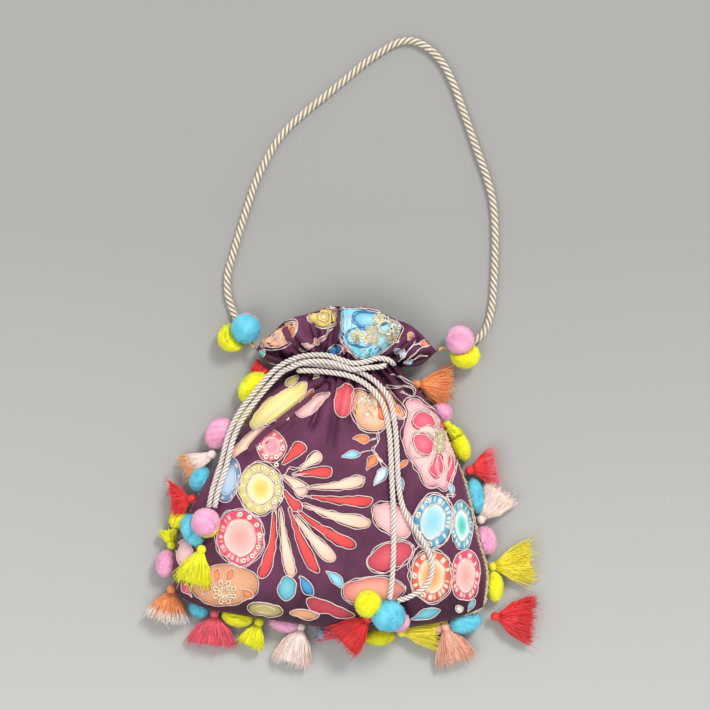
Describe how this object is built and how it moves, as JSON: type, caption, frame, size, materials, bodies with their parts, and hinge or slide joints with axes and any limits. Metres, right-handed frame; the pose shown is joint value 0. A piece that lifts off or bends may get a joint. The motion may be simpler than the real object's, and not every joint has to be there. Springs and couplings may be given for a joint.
{
  "type": "potli bag",
  "caption": "Gathered drawstring pouch with a flared frill, a twisted cord handle, drawstrings that end in tufts, and a seam trimmed with pompoms and tassels.",
  "frame": {"origin": "middle of the flat patch of the back that the bag lies on", "axes": "+Z out of the bag's front, away from the surface it lies on; +Y from the hem towards the frill and the handle; +X towards the bag's right as seen from the front"},
  "size_m": [0.2702, 0.4409, 0.0486],
  "materials": {
    "silk": "dark aubergine woven silk blend with a soft sheen, printed and outlined in chain stitch",
    "lining": "smooth satin lining",
    "handle_cord": "twisted three-strand cream cord with a golden sheen",
    "drawstring_cord": "twisted silver-pink cord",
    "braid": "metallic gold and silver thread",
    "yarn_yellow": "fluffy acrylic yarn and thread",
    "yarn_blue": "fluffy acrylic yarn and thread",
    "yarn_pink": "fluffy acrylic yarn and thread",
    "yarn_red": "fluffy acrylic yarn and thread",
    "yarn_coral": "fluffy acrylic yarn and thread",
    "yarn_orange": "fluffy acrylic yarn and thread",
    "yarn_peach": "fluffy acrylic yarn and thread",
    "yarn_blush": "fluffy acrylic yarn and thread"
  },
  "bodies": {
    "root": {"front_panel": "silk", "back_panel": "silk", "lining": "lining", "seam_braid": "braid", "handle_rope": "handle_cord", "drawstring_left_tail": "drawstring_cord", "drawstring_bottom_tail": "drawstring_cord", "handle_link_left": "braid", "handle_link_right": "braid", "handle_left_blue": "yarn_blue", "handle_left_yellow": "yarn_yellow", "handle_left_pink": "yarn_pink", "handle_right_pink": "yarn_pink", "handle_right_blue": "yarn_blue", "handle_right_yellow": "yarn_yellow", "left_tail_pink": "yarn_pink", "left_tail_yellow": "yarn_yellow", "left_tail_blue": "yarn_blue", "left_tail_tassel": "yarn_yellow", "bottom_tail_blue": "yarn_blue", "bottom_tail_yellow": "yarn_yellow", "bottom_tail_pink": "yarn_pink", "bottom_tail_tassel": "yarn_red", "trim_tassel_01": "yarn_orange", "trim_pompom_02": "yarn_pink", "trim_tassel_03": "yarn_yellow", "trim_pompom_04": "yarn_yellow", "trim_tassel_05": "yarn_red", "trim_pompom_06": "yarn_blue", "trim_tassel_07": "yarn_blush", "trim_pompom_08": "yarn_pink", "trim_tassel_09": "yarn_yellow", "trim_pompom_10": "yarn_yellow", "trim_tassel_11": "yarn_red", "trim_pompom_12": "yarn_blue", "trim_tassel_13": "yarn_peach", "trim_pompom_14": "yarn_pink", "trim_tassel_15": "yarn_yellow", "trim_pompom_16": "yarn_yellow", "trim_tassel_17": "yarn_coral", "trim_pompom_18": "yarn_blue", "trim_tassel_19": "yarn_blush", "trim_pompom_20": "yarn_pink", "trim_tassel_21": "yarn_yellow", "trim_pompom_22": "yarn_yellow", "trim_tassel_23": "yarn_coral", "trim_pompom_24": "yarn_blue", "trim_tassel_25": "yarn_orange", "trim_pompom_26": "yarn_pink", "trim_tassel_27": "yarn_yellow", "trim_pompom_28": "yarn_yellow", "trim_tassel_29": "yarn_red", "trim_pompom_30": "yarn_blue", "trim_tassel_31": "yarn_blush", "trim_pompom_32": "yarn_pink", "trim_tassel_33": "yarn_yellow", "trim_pompom_34": "yarn_yellow", "trim_tassel_35": "yarn_red"}
  },
  "joints": []
}
